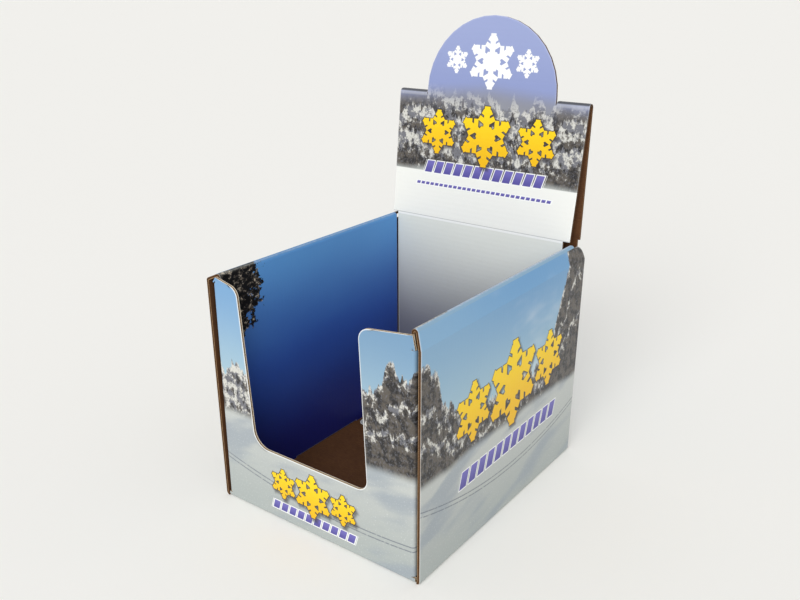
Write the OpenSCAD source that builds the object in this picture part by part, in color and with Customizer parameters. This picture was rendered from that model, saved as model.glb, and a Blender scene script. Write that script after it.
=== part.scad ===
// Counter display box, die-cut and folded from one sheet of printed corrugated board.
// The sheet is a tree of flat panels joined by creases. Each panel lies in its own XY plane,
// with the printed face at z = 0 and the brown face at z = board_t. X runs along the crease
// that the panel hangs on, and Y runs away from it.
// The box stands on z = 0, its front panel faces -Y, and the origin is the middle of its base.

/* [Box] */
// Outside width across the side walls
box_w = 160; // [130:1:220]
// Outside depth of the base from the front panel to the back panel
box_d = 190; // [150:1:260]
// Height of the rolled top edge of the side walls
wall_h = 158; // [125:1:200]

/* [Board] */
// Thickness of the corrugated board
board_t = 1.8; // [1.4:0.1:2.4]
// Inside radius of a folded crease
crease_r = 0.5; // [0.3:0.1:0.8]
// Inside radius of a crease that only bends a few degrees
soft_crease_r = 14; // [8:1:20]
// Depth to which each face is crushed along a crease
crush = 0.1; // [0.05:0.05:0.2]
// Air between a wall's outer ply and the corner flap inside it
flap_gap = 1.8; // [0.6:0.1:2.4]
// Air between a corner flap and the wall's inner ply
ply_gap = 0.6; // [0.4:0.1:1.2]
// Air round a free edge, a tab or a cut
edge_gap = 0.4; // [0.3:0.1:0.8]

/* [Side walls] */
// Lean of the strip along the top of the left wall's roll
left_roll = 64; // [30:1:75]
// Lean of the strip along the top of the right wall's roll
right_roll = 22; // [18:1:36]
// Distance by which the left wall's outer ply stands further out at its top
left_spread = 2; // [0:0.1:3]
// Distance by which the right wall's outer ply stands further out at its top
right_spread = 0.4; // [0:0.1:3]
// Distance from the back of the box to the end of the roll
roll_end_in = 6.2; // [6:0.1:12]
// Radius of the upper rear corner of a wall's strip
ear_r = 7; // [2:0.5:8]
// Width of a locking tab under an inner ply
tab_w = 24; // [14:1:34]
// Distance of a locking tab from the middle of the wall
tab_out = 46; // [30:1:54]

/* [Front panel] */
// Height of the lip under the cut-out
lip_h = 48; // [30:1:70]
// Width of the left upright at its top
left_top_w = 17.8; // [14:0.1:24]
// Width of the left upright at the lip
left_foot_w = 25.8; // [20:0.1:32]
// Width of the right upright at its top
right_top_w = 36; // [28:0.5:44]
// Width of the right upright at the lip
right_foot_w = 31.5; // [26:0.5:40]
// Drop of the left upright's outer corner below the wall's top
left_drop = 1.6; // [1:0.1:8]
// Drop of the right upright's outer corner below the wall's top
right_drop = 3; // [1:0.5:8]
// Slope of the left upright's top towards the cut-out
left_slope = 13; // [0:1:20]
// Slope of the right upright's top towards the cut-out
right_slope = 7; // [0:1:20]
// Radius of the cut-out's left lower corner
left_foot_r = 12; // [5:0.5:16]
// Radius of the cut-out's right lower corner
right_foot_r = 7.5; // [4:0.5:14]
// Radius of the uprights' inner top corners
upright_r = 7.5; // [3:0.5:9]

/* [Corner flaps] */
// Length of the flaps that stand inside the side walls
flap_len = 36; // [24:1:48]
// Taper of a flap's upper and lower edges
flap_taper = 5; // [2:1:10]
// Radius of a flap's free corners
flap_r = 4; // [2:0.5:8]

/* [Header] */
// Air between the header's edge and the outer ply of a side wall
header_gap = 2.4; // [0.8:0.1:8]
// Air between the side walls' top and the header's foot
header_lift = 1.2; // [0.4:0.1:3]
// Length of the header's back ply above the wall
header_h = 88; // [70:1:120]
// Lean of the header's front ply
front_lean = 6; // [4:0.5:7]
// Run of the front ply's right edge towards the middle, from the shoulder to the foot
front_taper = 3.2; // [0:0.1:5]
// Lean of the header's back ply
back_lean = 3.2; // [2.5:0.1:3.6]
// Lean of the back panel below the header
back_tilt = 1.7; // [0.5:0.1:2]
// Inside radius of the fold along the header's shoulders
shoulder_r = 1.1; // [0.8:0.1:1.6]
// Radius of the half disc that stands above the shoulders
disc_r = 51.5; // [40:0.5:56]
// Rise of the half disc's centre above the fold
disc_rise = 4.2; // [0:0.1:6]
// Width of the knife cut round the half disc
kerf = 0.5; // [0.3:0.1:0.8]

/* [Inner back] */
// Air between the inner back panel and the left side wall
left_gap = 0.6; // [0.5:0.1:4]
// Air between the inner back panel and the right side wall
right_gap = 4.7; // [2:0.1:7]
// Step in from the inner back panel's edges to the tongue's
tongue_in = 4.4; // [2:0.1:8]
// Length of the tongue that lies on the floor
tongue_len = 60; // [40:1:80]
// Radius of the tongue's front corners
tongue_r = 6; // [3:0.5:12]

/* [Hidden] */
// Steps along the arc of a bend and of a rounded corner
bend_steps = 6;
corner_steps = 6;
// Length over which a bend runs on inside the panels it joins
crease_lap = board_t / 3;
// Outside radius of a crease
bend_r = board_t + crease_r;
// A rolled wall holds an outer ply, a corner flap and an inner ply
roll_t = 3 * board_t + flap_gap + ply_gap;
// Half lengths of the side walls, in the direction of the crease
side_half = box_d / 2 - edge_gap / 2;
side_rear = -(box_d / 2 - roll_end_in);
side_front = box_d / 2 - bend_r - edge_gap;
strip_miter = side_half - side_front;
// Half width of the front and back panels up to their side creases
panel_half = box_w / 2 - board_t - flap_gap - bend_r;
panel_base_half = box_w / 2 - bend_r;
panel_base_deep = box_d / 2 - bend_r;
inner_half = box_w / 2 - roll_t;
// Half width and height of the front and back panels' lower edges, which run on past the side creases
foot_half = panel_base_half - crease_lap - edge_gap;
foot_h = 2 * crease_lap;
flap_foot = foot_h + edge_gap;
// The header stands clear above the rolled walls
header_foot = wall_h + header_lift;
header_half = box_w / 2 - board_t - header_gap;
shoulder_bend = board_t + shoulder_r;
shoulder_turn = 180 - front_lean + back_lean;
shoulder_flat = (shoulder_r + board_t / 2) * shoulder_turn * PI / 180;
// Lengths of the back panel, up to the header, and of the front ply, down from the shoulders
back_len = (header_foot - bend_r * (1 - sin(back_tilt))) / cos(back_tilt);
back_soft_z = soft_crease_r * (sin(back_lean) - sin(back_tilt));
front_rise = back_soft_z + header_h * cos(back_lean) + shoulder_bend * (sin(back_lean) + sin(front_lean));
front_ply_len = front_rise / cos(front_lean);
inner_back_left = left_gap - inner_half;
inner_back_right = inner_half - right_gap;
front_soft_z = (board_t + soft_crease_r) * sin(front_lean);
inner_back_len = header_foot - front_soft_z - 2 * board_t - edge_gap - crease_r;
tongue_left = inner_back_left + tongue_in;
tongue_right = inner_back_right - tongue_in;

printed = "#8fb3d3";

// Unit vector from b to a.
function towards(a, b) = [a.x - b.x, a.y - b.y] / norm([a.x - b.x, a.y - b.y]);

// Points on an arc about the centre c, from angle a0 to angle a1.
function arc(c, r, a0, a1, steps) =
    [for (i = [0:steps]) c + r * [cos(a0 + (a1 - a0) * i / steps), sin(a0 + (a1 - a0) * i / steps)]];

// The arc that rounds corner b, between the corners a and d, to the radius b.z.
function corner_arc(a, b, d) =
    let (u = towards(a, b))
    let (v = towards(d, b))
    let (half = acos(u * v) / 2)
    let (centre = [b.x, b.y] + (u + v) / norm(u + v) * b.z / sin(half))
    let (p = [b.x, b.y] + u * b.z / tan(half) - centre)
    let (q = [b.x, b.y] + v * b.z / tan(half) - centre)
    let (start = atan2(p.y, p.x))
    let (sweep = (atan2(q.y, q.x) - start + 540) % 360 - 180)
    arc(centre, b.z, start, start + sweep, corner_steps);

// A closed outline of corners [x, y, radius].
function rounded(c) =
    [for (i = [0:len(c) - 1])
        each c[i].z == 0
            ? [[c[i].x, c[i].y]]
            : corner_arc(c[(i + len(c) - 1) % len(c)], c[i], c[(i + 1) % len(c)])];

// Point of a bend at the height h of the flat sheet, once it has turned by the angle a.
// The bend's axis lies at the height axis, on the brown side where way > 0.
function bend_point(h, a, axis, way) =
    [way * (axis - h) * sin(a), axis - (axis - h) * cos(a)];

// Section of a bend: towards the brown face where turn > 0, towards the print where turn < 0.
// Both faces are crushed along the crease, and the ends run on into the panels they join.
function bend_section(turn, r) =
    let (way = sign(turn))
    let (axis = turn > 0 ? board_t + r : -r)
    let (angles = [for (i = [0:bend_steps]) abs(turn) * i / bend_steps])
    let (on = crease_lap * [cos(turn), sin(turn)])
    let (print = [for (a = angles) bend_point(crush, a, axis, way)])
    let (brown = [for (i = [bend_steps:-1:0]) bend_point(board_t - crush, angles[i], axis, way)])
    concat(
        [[-crease_lap, crush]], print, [print[bend_steps] + on],
        [brown[0] + on], brown, [[-crease_lap, board_t - crush]]);

// Width of the strip along the top of a rolled wall that leans out by spread.
function strip_w(roll, spread) = (roll_t - 2 * bend_r + spread) / sin(roll);

// Height of that strip's lower score above the wall's bottom crease.
function score_h(roll, spread) = wall_h - 2 * bend_r - strip_w(roll, spread) * cos(roll);

// Distance of an upright's outer top corner, at the height top, from the middle of the box.
// Where there is room under the strip, it lies as far out as the flap below it.
function shoulder_x(roll, spread, top) =
    let (under = box_w / 2 + spread - board_t / cos(roll) - (top - score_h(roll, spread)) * tan(roll))
    max(panel_half, min(panel_half + bend_r, under - edge_gap));

// A flat panel of board with the outline of its children.
module panel() {
    linear_extrude(board_t) children();
}

// Bends the sheet over each span [x0, x1] of a crease and carries on with its children.
module fold(turn, spans, r = crease_r) {
    reach = turn > 0 ? board_t + r : r;
    for (span = spans)
        translate([span[0] + crush, 0, 0])
            rotate([90, 0, 90])
                linear_extrude(span[1] - span[0] - 2 * crush) polygon(bend_section(turn, r));
    translate([0, reach * sin(abs(turn)), sign(turn) * reach * (1 - cos(turn))])
        rotate([turn, 0, 0]) children();
}

// Floor of the box, with slots for the locking tabs.
module base_panel() {
    slot_half = tab_w / 2 + edge_gap;
    panel() difference() {
        square([2 * panel_base_half, 2 * panel_base_deep], center = true);
        for (x = [-1, 1], y = [-tab_out, tab_out])
            translate([x * (inner_half + board_t / 2), y])
                square([board_t + 2 * edge_gap, 2 * slot_half], center = true);
    }
}

// Flap folded back from a side crease of the front or back panel, into the rolled wall.
// It stops under the strip of that wall.
module corner_flap(roll, spread) {
    flap_h = score_h(roll, spread) - edge_gap - flap_foot;
    translate([panel_half, flap_foot + flap_h / 2, 0])
        rotate([0, 0, -90])
            fold(90, [[-flap_h / 2, flap_h / 2]])
                panel() polygon(rounded([
                    [-flap_h / 2, 0, 0],
                    [flap_h / 2, 0, 0],
                    [flap_h / 2 - flap_taper, flap_len, flap_r],
                    [flap_taper - flap_h / 2, flap_len, flap_r]]));
}

// Lower edge of the front or back panel, which runs on below the corner flaps.
module panel_foot() {
    translate([-foot_half, 0]) square([2 * foot_half, foot_h]);
}

// Front panel with its lopsided cut-out between two uprights.
// Above the corner flaps the uprights reach out under the strips of the side walls.
module front_panel() {
    left_h = wall_h - left_drop - bend_r;
    right_h = wall_h - right_drop - bend_r;
    left_score = score_h(left_roll, left_spread);
    right_score = score_h(right_roll, right_spread);
    lip = lip_h - bend_r;
    panel() union() {
        panel_foot();
        mirror([1, 0]) polygon(rounded([
            [-panel_half, 0, 0],
            [panel_half, 0, 0],
            [panel_half, right_score, 0],
            [panel_half + bend_r, right_score, 0],
            [shoulder_x(right_roll, right_spread, right_h), right_h, crease_r],
            [panel_half - right_top_w, right_h - right_top_w * tan(right_slope), upright_r],
            [panel_half - right_foot_w, lip, right_foot_r],
            [left_foot_w - panel_half, lip, left_foot_r],
            [left_top_w - panel_half, left_h - left_top_w * tan(left_slope), upright_r],
            [-shoulder_x(left_roll, left_spread, left_h), left_h, crease_r],
            [-panel_half - bend_r, left_score, 0],
            [-panel_half, left_score, 0]]));
    }
    corner_flap(left_roll, left_spread);
    mirror([1, 0, 0]) corner_flap(right_roll, right_spread);
}

// Inner ply of a side wall, hanging from the roll, with tabs that lock into the floor.
module side_inner_ply() {
    drop = wall_h - bend_r - board_t - edge_gap;
    panel() union() {
        translate([side_rear, 0]) square([side_front - side_rear, drop]);
        for (x = [-tab_out, tab_out])
            translate([x, 0]) polygon(rounded([
                [-tab_w / 2, drop - tab_w / 2, 0],
                [tab_w / 2, drop - tab_w / 2, 0],
                [tab_w / 2, drop + board_t, crease_r],
                [-tab_w / 2, drop + board_t, crease_r]]));
    }
}

// Side wall: the sheet goes up outside, over a slanted strip and down again inside.
// Its outer ply leans out, and the strip runs on behind the end of the roll as an ear.
module side_wall(roll, spread) {
    score = score_h(roll, spread);
    strip = strip_w(roll, spread);
    lean = atan(spread / score);
    ply_len = score / cos(lean);
    rear = -side_half - ply_len * tan(back_tilt);
    fold(90 - lean, [[-side_half, side_half]]) {
        panel() polygon([[-side_half, 0], [side_half, 0], [side_half, ply_len], [rear, ply_len]]);
        translate([0, ply_len, 0])
            fold(lean + roll, [[rear, side_half]]) {
                panel() polygon(rounded([
                    [rear, 0, 0],
                    [side_half, 0, 0],
                    [side_half - strip_miter, strip, 0],
                    [rear, strip, min(ear_r, strip - crease_r)]]));
                translate([0, strip, 0])
                    fold(180 - roll, [[side_rear, side_front]])
                        side_inner_ply();
            }
    }
}

// Half disc above the shoulders, cut free of the back ply and left standing in the front ply.
module header_front_ply() {
    panel() union() {
        polygon([
            [-header_half, 0],
            [header_half, 0],
            [header_half - front_taper, front_ply_len],
            [-header_half, front_ply_len]]);
        translate([-disc_r, -disc_rise]) square([2 * disc_r, disc_rise + board_t]);
        translate([0, -disc_rise]) circle(r = disc_r, $fn = 96);
    }
}

// Back ply of the header, with the hole that the half disc leaves.
module header_back_ply() {
    panel() difference() {
        translate([-header_half, 0]) square([2 * header_half, header_h]);
        translate([0, header_h + shoulder_flat - disc_rise]) circle(r = disc_r + kerf, $fn = 96);
    }
}

// Tongue that holds the inner back panel down on the floor.
module floor_tongue() {
    panel() polygon(rounded([
        [tongue_left, 0, 0],
        [tongue_right, 0, 0],
        [tongue_right, tongue_len, tongue_r],
        [tongue_left, tongue_len, tongue_r]]));
}

// Back wall: up outside, over the shoulders, down in front and forward along the floor.
module back_wall() {
    shoulder_in = disc_r + kerf;
    whole = [[-panel_half, panel_half]];
    inner = [[inner_back_left, inner_back_right]];
    tongue = [[tongue_left, tongue_right]];
    shoulders = [[-header_half, -shoulder_in], [shoulder_in, header_half]];
    panel() union() {
        panel_foot();
        translate([-panel_half, 0]) square([2 * panel_half, back_len]);
    }
    corner_flap(right_roll, right_spread);
    mirror([1, 0, 0]) corner_flap(left_roll, left_spread);
    translate([0, back_len, 0]) fold(back_tilt - back_lean, whole, soft_crease_r) {
        header_back_ply();
        translate([0, header_h, 0]) fold(shoulder_turn, shoulders, shoulder_r) {
            header_front_ply();
            translate([0, front_ply_len, 0]) fold(front_lean, inner, soft_crease_r) {
                translate([inner_back_left, 0])
                    panel() square([inner_back_right - inner_back_left, inner_back_len]);
                translate([0, inner_back_len, 0]) fold(-90, tongue) floor_tongue();
            }
        }
    }
}

// The whole folded sheet.
module display_box() {
    foot = [[-foot_half, foot_half]];
    color(printed) union() {
        base_panel();
        translate([0, -panel_base_deep, 0]) rotate(180) fold(90, foot) front_panel();
        translate([0, panel_base_deep, 0]) fold(90 - back_tilt, foot) back_wall();
        translate([panel_base_half, 0, 0]) rotate(-90) side_wall(right_roll, right_spread);
        mirror([1, 0, 0])
            translate([panel_base_half, 0, 0]) rotate(-90) side_wall(left_roll, left_spread);
    }
}

display_box();
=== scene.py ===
import math
from functools import cached_property, partial, reduce

import bpy
import numpy as np
from mathutils import Matrix


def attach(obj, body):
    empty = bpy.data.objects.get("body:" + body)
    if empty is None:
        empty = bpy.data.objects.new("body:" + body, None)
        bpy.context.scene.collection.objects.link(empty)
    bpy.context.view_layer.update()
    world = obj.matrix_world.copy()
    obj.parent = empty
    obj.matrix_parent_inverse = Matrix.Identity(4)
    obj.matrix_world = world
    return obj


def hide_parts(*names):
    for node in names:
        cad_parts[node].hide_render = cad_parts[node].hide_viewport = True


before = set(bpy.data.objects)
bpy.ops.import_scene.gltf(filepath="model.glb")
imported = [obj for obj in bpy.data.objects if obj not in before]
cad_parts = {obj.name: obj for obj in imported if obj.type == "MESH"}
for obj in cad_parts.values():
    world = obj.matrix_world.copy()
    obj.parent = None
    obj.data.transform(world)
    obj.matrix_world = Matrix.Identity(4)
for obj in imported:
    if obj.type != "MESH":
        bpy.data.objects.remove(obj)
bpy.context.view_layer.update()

# A counter display box, folded from one printed sheet of corrugated board and cut into pieces at its creases.
# The shapes are in metres, and the prints' formulas in millimetres.
BODY = "root"
NODE = "display_box"
MM = 0.001

# Sizes of the folded sheet, in metres
BOX_W = 160 * MM
BOX_D = 190 * MM
WALL_H = 158 * MM
BOARD = 1.8 * MM
CREASE_R = 0.5 * MM
SOFT_CREASE_R = 14 * MM
FLAP_GAP = 1.8 * MM
PLY_GAP = 0.6 * MM
EDGE_GAP = 0.4 * MM
BEND_R = BOARD + CREASE_R
CREASE_LAP = BOARD / 3

# Smallest step that keeps two edges apart
HAIR = 0.02 * MM

# Rolled side walls: the lean of each roll's strip, and how much further out the outer ply stands at its top
LEFT_ROLL = math.radians(64), 2 * MM
RIGHT_ROLL = math.radians(22), 0.4 * MM
WALLS = ("left", -1, LEFT_ROLL), ("right", 1, RIGHT_ROLL)
ROLL_END_IN = 6.2 * MM
EAR_R = 7 * MM
TAB_W = 24 * MM
TAB_OUT = 46 * MM
ROLL_T = 3 * BOARD + FLAP_GAP + PLY_GAP
SIDE_HALF = BOX_D / 2 - EDGE_GAP / 2
SIDE_REAR = BOX_D / 2 - ROLL_END_IN
SIDE_FRONT = BOX_D / 2 - BEND_R - EDGE_GAP

# Base, front panel and its cut-out
PANEL_HALF = BOX_W / 2 - BOARD - FLAP_GAP - BEND_R
BASE_HALF = BOX_W / 2 - BEND_R
BASE_DEEP = BOX_D / 2 - BEND_R
FOOT_HALF = BASE_HALF - CREASE_LAP - EDGE_GAP
FOOT_H = 2 * CREASE_LAP
INNER_HALF = BOX_W / 2 - ROLL_T
LIP = 48 * MM - BEND_R
LEFT_TOP_W = 17.8 * MM
LEFT_FOOT_W = 25.8 * MM
LEFT_TOP = WALL_H - 1.6 * MM - BEND_R
LEFT_SLOPE = math.radians(13)
LEFT_FOOT_R = 12 * MM
RIGHT_TOP_W = 36 * MM
RIGHT_FOOT_W = 31.5 * MM
RIGHT_TOP = WALL_H - 3 * MM - BEND_R
RIGHT_SLOPE = math.radians(7)
RIGHT_FOOT_R = 7.5 * MM
UPRIGHT_R = 7.5 * MM

# Corner flaps inside the side walls
FLAP_LEN = 36 * MM
FLAP_TAPER = 5 * MM
FLAP_R = 4 * MM
FLAP_LOW = FOOT_H + EDGE_GAP

# Back panel, header and inner back
BACK_TILT = math.radians(1.7)
BACK_LEAN = math.radians(3.2)
FRONT_LEAN = math.radians(6)
HEADER_FOOT = WALL_H + 1.2 * MM
HEADER_H = 88 * MM
HEADER_HALF = BOX_W / 2 - BOARD - 2.4 * MM
FRONT_TAPER = 3.2 * MM
SHOULDER_R = 1.1 * MM
SHOULDER_TURN = math.pi - FRONT_LEAN + BACK_LEAN
SHOULDER_FLAT = (SHOULDER_R + BOARD / 2) * SHOULDER_TURN
DISC_R = 51.5 * MM
DISC_RISE = 4.2 * MM
KERF = 0.5 * MM
HOLE_R = DISC_R + KERF
HOLE_Y = HEADER_H + SHOULDER_FLAT - DISC_RISE
BACK_LEN = (HEADER_FOOT - BEND_R * (1 - math.sin(BACK_TILT))) / math.cos(BACK_TILT)
FRONT_RISE = (
    SOFT_CREASE_R * (math.sin(BACK_LEAN) - math.sin(BACK_TILT))
    + HEADER_H * math.cos(BACK_LEAN)
    + (BOARD + SHOULDER_R) * (math.sin(BACK_LEAN) + math.sin(FRONT_LEAN))
)
FRONT_PLY_LEN = FRONT_RISE / math.cos(FRONT_LEAN)
INNER_BACK_LEFT = 0.6 * MM - INNER_HALF
INNER_BACK_RIGHT = INNER_HALF - 4.7 * MM
INNER_BACK_LEN = (
    HEADER_FOOT - (BOARD + SOFT_CREASE_R) * math.sin(FRONT_LEAN) - 2 * BOARD - EDGE_GAP - CREASE_R
)
TONGUE_IN = 4.4 * MM
TONGUE_LEFT = INNER_BACK_LEFT + TONGUE_IN
TONGUE_RIGHT = INNER_BACK_RIGHT - TONGUE_IN
TONGUE_LEN = 60 * MM
TONGUE_R = 6 * MM

# Raw edges: two liners with a fluted sheet between them, as shares of the board unless they have a unit
LINER = 0.2
EDGE_DEPTH = 0.45 * MM
FLUTE_PITCH = 3.5 * MM
FLUTE_STEP = FLUTE_PITCH / 10
FLUTE_SWING = 0.26
FLUTE_HALF = 0.075
FLUTE_INSET = 0.06 * MM

# Rounding of the printed face along a cut: its width, the most of a cell it takes, and its depth in boards
CUT_ROUND = 1.0 * MM
CUT_SHARE = 0.45
CUT_SINK = 0.09

# Rings round a raw edge, from print to brown face: share of the way across, and depth in from the cut
EDGE_RINGS = (
    (CUT_SINK, 0.0),
    (LINER, 0.0),
    (LINER, EDGE_DEPTH),
    (1 - LINER, EDGE_DEPTH),
    (1 - LINER, 0.0),
)

# Turn, in radians, from which the print cracks over a bend, the further turn over which the crack comes in
# full, and how narrow it is
CRACK_FROM = 1.6
CRACK_OVER = 1.2
CRACK_POWER = 10

# Density of the grids
GRID_STEP = 6 * MM
BEND_STEPS = 10
ARC_STEPS = 12
DISC_ROWS = 10
FLAP_ROWS = 7
TONGUE_ROWS = 9

# Points in one cell of this size are one point; the shift keeps round values off the borders of the cells
WELD = 0.5e-6
WELD_SHIFT = 0.37

# Keeps a divisor off zero
TINY = 1e-9

X = np.array([1.0, 0.0, 0.0])
Y = np.array([0.0, 1.0, 0.0])
Z = np.array([0.0, 0.0, 1.0])

# Numbers of a piece's materials: print, brown face, liner at a cut, fluted sheet
PRINT, BROWN, CUT, FLUTED = range(4)


def strip_width(roll, spread):
    """Width of the strip along the top of a rolled wall."""
    return (ROLL_T - 2 * BEND_R + spread) / math.sin(roll)


def score_height(roll, spread):
    """Height of that strip's lower score above the wall's bottom crease."""
    return WALL_H - 2 * BEND_R - strip_width(roll, spread) * math.cos(roll)


def shoulder_reach(roll, spread, top):
    """Distance from the middle of the box to an upright's outer top corner, which stays under the strip."""
    slant = (top - score_height(roll, spread)) * math.tan(roll)
    under = BOX_W / 2 + spread - BOARD / math.cos(roll) - slant - EDGE_GAP
    return max(PANEL_HALF + HAIR, min(PANEL_HALF + BEND_R, under))


def run(start, end, *through):
    """Evenly spaced values from start to end that also hit each value in through."""
    stops = sorted([start, end, *through])
    parts = [
        np.linspace(a, b, max(2, math.ceil((b - a) / GRID_STEP) + 1))[:-1]
        for a, b in zip(stops[:-1], stops[1:])
    ]
    return np.concatenate([*parts, [stops[-1]]])


def arc(centre, radius, start, end):
    """Points of a circle about the centre, from the angle start to the angle end."""
    angle = np.linspace(start, end, ARC_STEPS + 1)
    return np.stack([centre[0] + radius * np.cos(angle), centre[1] + radius * np.sin(angle)], 1)


def rounding(a, b, d, radius):
    """The arc of that radius that touches the lines from b to a and from b to d, run from a to d."""
    a, b, d = (np.array(p, float) for p in (a, b, d))
    u = (a - b) / np.linalg.norm(a - b)
    v = (d - b) / np.linalg.norm(d - b)
    half = math.acos(float(u @ v)) / 2
    centre = b + (u + v) / np.linalg.norm(u + v) * radius / math.sin(half)
    p = b + u * radius / math.tan(half) - centre
    q = b + v * radius / math.tan(half) - centre
    start = math.atan2(p[1], p[0])
    sweep = (math.atan2(q[1], q[0]) - start + 3 * math.pi) % (2 * math.pi) - math.pi
    return arc(centre, radius, start, start + sweep)


def straight(a, b):
    """Points between a and b, without the ends."""
    count = max(2, math.ceil(math.dist(a, b) / GRID_STEP))
    share = np.linspace(0, 1, count + 1)[1:-1, None]
    return np.array(a) * (1 - share) + np.array(b) * share


def between(edge_a, edge_b, share):
    """Ruled surface: each row runs straight from a point of edge_a to the matching point of edge_b."""
    t = np.asarray(share)[None, :, None]
    points = edge_a[:, None] * (1 - t) + edge_b[:, None] * t
    return points[..., 0], points[..., 1]


def shares(values):
    """The values scaled to run from 0 to 1."""
    values = np.asarray(values)
    return (values - values[0]) / (values[-1] - values[0])


def grid(x, y):
    """The two coordinates of a grid whose rows follow x and whose columns follow y."""
    return np.meshgrid(x, y, indexing="ij")


def rounded_end(length, radius, rows):
    """Places along a panel with rounded free corners, and the rounding's inset at each: the radius less
    the root of its square less the square of the way past the start of the rounding."""
    start = length - radius
    turn = np.linspace(0, np.pi / 2, rows)[1:]
    places = np.concatenate([run(0, start), start + radius * np.sin(turn)])
    past = np.maximum(places - start, 0)
    return places, radius - np.sqrt(np.maximum(radius**2 - past**2, 0))


class Panel:
    """A flat panel: a point on its crease and unit vectors along it, away from it and to its brown face."""

    def __init__(self, origin, along, away, brown):
        self.origin = np.asarray(origin, float)
        self.along = along
        self.away = away
        self.brown = brown

    def flat(self, x, y):
        """Points of the printed face, origin + x along + y away, and the direction to the brown face."""
        points = self.origin + x[..., None] * self.along + y[..., None] * self.away
        return points, np.broadcast_to(self.brown, points.shape)

    def beyond(self, y):
        """The same plane with its crease moved on by y."""
        return Panel(self.origin + y * self.away, self.along, self.away, self.brown)

    def fold(self, turn, radius):
        """The panel that follows a bend over the crease. The printed face turns on a circle about an axis
        beside the sheet: on its brown side where turn is above 0, and on its printed side below that."""
        reach = BOARD + radius if turn > 0 else radius
        rise = math.copysign(reach, turn) * (1 - math.cos(turn))
        origin = self.origin + reach * math.sin(abs(turn)) * self.away + rise * self.brown
        away = math.cos(turn) * self.away + math.sin(turn) * self.brown
        brown = math.cos(turn) * self.brown - math.sin(turn) * self.away
        return Panel(origin, self.along, away, brown)

    def bend(self, x, turn, radius):
        """Points of the printed face over such a bend, one column for each step of the turn."""
        steps = [self.fold(angle, radius) for angle in np.linspace(0, turn, BEND_STEPS + 1)]
        columns = [step.flat(x, np.zeros(len(x))) for step in steps]
        points, normals = zip(*columns)
        return np.stack(points, 1), np.stack(normals, 1)


def welded(places):
    """The first index of each distinct place, and every place's number among the distinct ones."""
    cells = np.floor(places / WELD + WELD_SHIFT).astype(np.int64)
    _, first, number = np.unique(cells, axis=0, return_index=True, return_inverse=True)
    return first, number.ravel()


def on_joins(points, a, b, joins):
    """Which free edges, from a to b, lie on a crease where the sheet goes on as another piece."""
    joined = np.zeros(len(a), bool)
    for axis, value in joins:
        joined |= np.all(np.abs(points[np.stack([a, b])][..., axis] - value) < 2 * WELD, 0)
    return joined


def mitres(points, outward, a, b):
    """At each end of a free edge, the step in the sheet that moves both edges there out by one:
    twice the sum of the edges' outward directions over the square of that sum."""
    side = np.cross(points[b] - points[a], outward[a])
    side /= np.linalg.norm(side, axis=1, keepdims=True)
    total = np.zeros_like(points)
    np.add.at(total, a, side)
    np.add.at(total, b, side)
    return 2 * total / np.maximum(np.sum(total**2, 1, keepdims=True), TINY)


def cut_walls(count, rim, a, b):
    """Quads along the cuts, from the printed face through each ring to the brown face."""
    order = np.zeros(count, int)
    order[rim] = np.arange(len(rim))
    numbers = [np.arange(count)]
    numbers += [2 * count + k * len(rim) + order for k in range(len(EDGE_RINGS))]
    numbers += [np.arange(count) + count]
    return [
        np.stack([upper[b], upper[a], lower[a], lower[b]], 1)
        for upper, lower in zip(numbers[:-1], numbers[1:])
    ]


def flutes(points, across, mitre, cross, a, b):
    """A ribbon along each cut. Its place between the liners is 0.5 + swing * sin(2 pi cross / pitch)."""
    count = np.maximum(1, np.ceil(np.abs(cross[b] - cross[a]) / FLUTE_STEP)).astype(int)
    edge = np.repeat(np.arange(len(a)), count)
    order = np.arange(len(edge)) - np.repeat(np.cumsum(count) - count, count)

    def corners(share):
        """Print-side and brown-side points of the ribbon, at its front and at its foot."""
        t = share[:, None]
        foot, lean, slant = (v[a][edge] * (1 - t) + v[b][edge] * t for v in (points, across, mitre))
        place = cross[a][edge] * (1 - share) + cross[b][edge] * share
        wave = (0.5 + FLUTE_SWING * np.sin(2 * np.pi * place / FLUTE_PITCH))[:, None]
        return [
            foot + (wave + off) * lean - depth * slant
            for depth in (FLUTE_INSET, EDGE_DEPTH)
            for off in (-FLUTE_HALF, FLUTE_HALF)
        ]

    ends = corners(order / count[edge]) + corners((order + 1) / count[edge])
    cloud = np.stack(ends, 1).reshape(-1, 3)
    low, high, low_in, high_in, low_2, high_2, low_in_2, high_in_2 = range(8)
    strips = [
        (low_2, low, high, high_2),
        (low, low_2, low_in_2, low_in),
        (high_2, high, high_in, high_in_2),
    ]
    rows = np.arange(len(edge))[:, None, None] * len(ends) + np.array(strips)[None]
    first, number = welded(cloud)
    return cloud[first], number[rows.reshape(-1, 4)]


def new_piece(name, vertices, groups, marks, attributes, materials):
    """Makes a piece from groups of faces and the material number of each, and hands it to the frame.
    Where two corners of a face have met at a crease, the face is written with each corner once."""
    mesh = bpy.data.meshes.new(name)
    faces = [list(dict.fromkeys(face)) for face in np.concatenate(groups).tolist()]
    mesh.from_pydata(vertices.tolist(), [], faces)
    index = np.repeat(marks, [len(group) for group in groups])
    mesh.polygons.foreach_set("material_index", index.astype(np.int32))
    for attribute, values in attributes.items():
        mesh.attributes.new(attribute, "FLOAT", "POINT").data.foreach_set("value", values)
    mesh.update()
    for material in materials:
        mesh.materials.append(material)
    piece = bpy.data.objects.new(name, mesh)
    bpy.context.scene.collection.objects.link(piece)
    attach(piece, BODY)
    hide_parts(NODE)


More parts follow.
